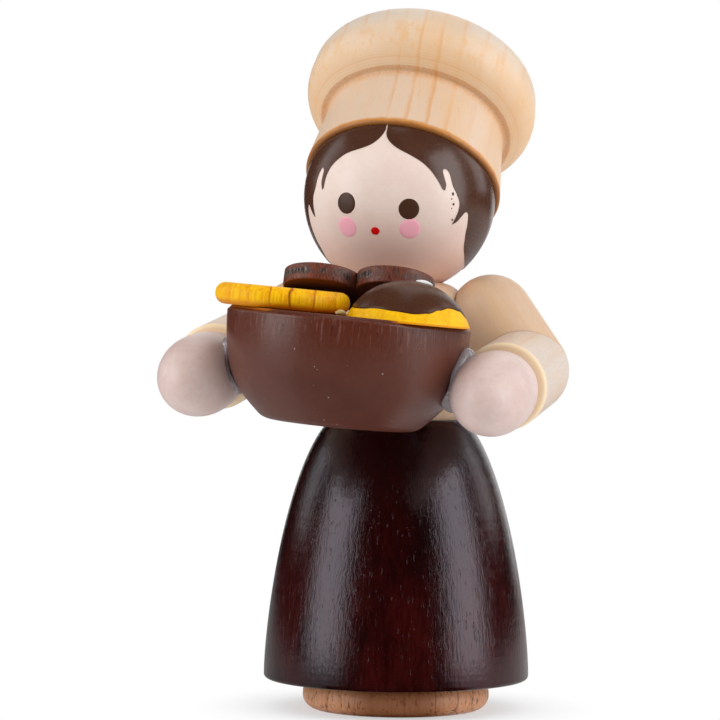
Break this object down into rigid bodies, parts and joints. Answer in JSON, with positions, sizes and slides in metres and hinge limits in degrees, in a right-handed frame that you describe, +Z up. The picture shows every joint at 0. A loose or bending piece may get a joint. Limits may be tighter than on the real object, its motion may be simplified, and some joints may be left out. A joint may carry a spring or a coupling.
{
  "type": "miniature wooden figurine",
  "caption": "Turned wooden figurine of a baker in a puffed hat and a bell skirt, holding a bowl of cookies in both hands; stands on a round foot as an ornament.",
  "frame": {"origin": "centre of the foot disc's underside, on the surface the figure stands on", "axes": "+Z up along the axis of skirt and torso; the figure looks along -Y; its left hand is on the +X side"},
  "size_m": [0.0318, 0.0414, 0.0602],
  "materials": {
    "beech": "satin clear lacquer",
    "pale_wood": "satin clear lacquer",
    "dark_stain": "dark red-brown stain under satin lacquer",
    "skin_paint": "skin-coloured paint, satin",
    "bowl_paint": "brown paint, semi-gloss",
    "yellow_stain": "yellow stain, satin",
    "heart_stain": "dark brown stain, dull sawn edge"
  },
  "bodies": {
    "root": {"foot_disc": "beech", "foot_dowel": "beech", "skirt": "dark_stain", "torso": "pale_wood", "neck_dowel": "beech", "head": "skin_paint", "hat": "pale_wood", "upper_arm_left": "pale_wood", "upper_arm_right": "pale_wood", "forearm_left": "pale_wood", "forearm_right": "pale_wood", "hand_left": "skin_paint", "hand_right": "skin_paint", "bowl": "bowl_paint", "disc_cookie": "yellow_stain", "dome_cookie": "yellow_stain", "heart_cookie": "heart_stain"}
  },
  "joints": []
}
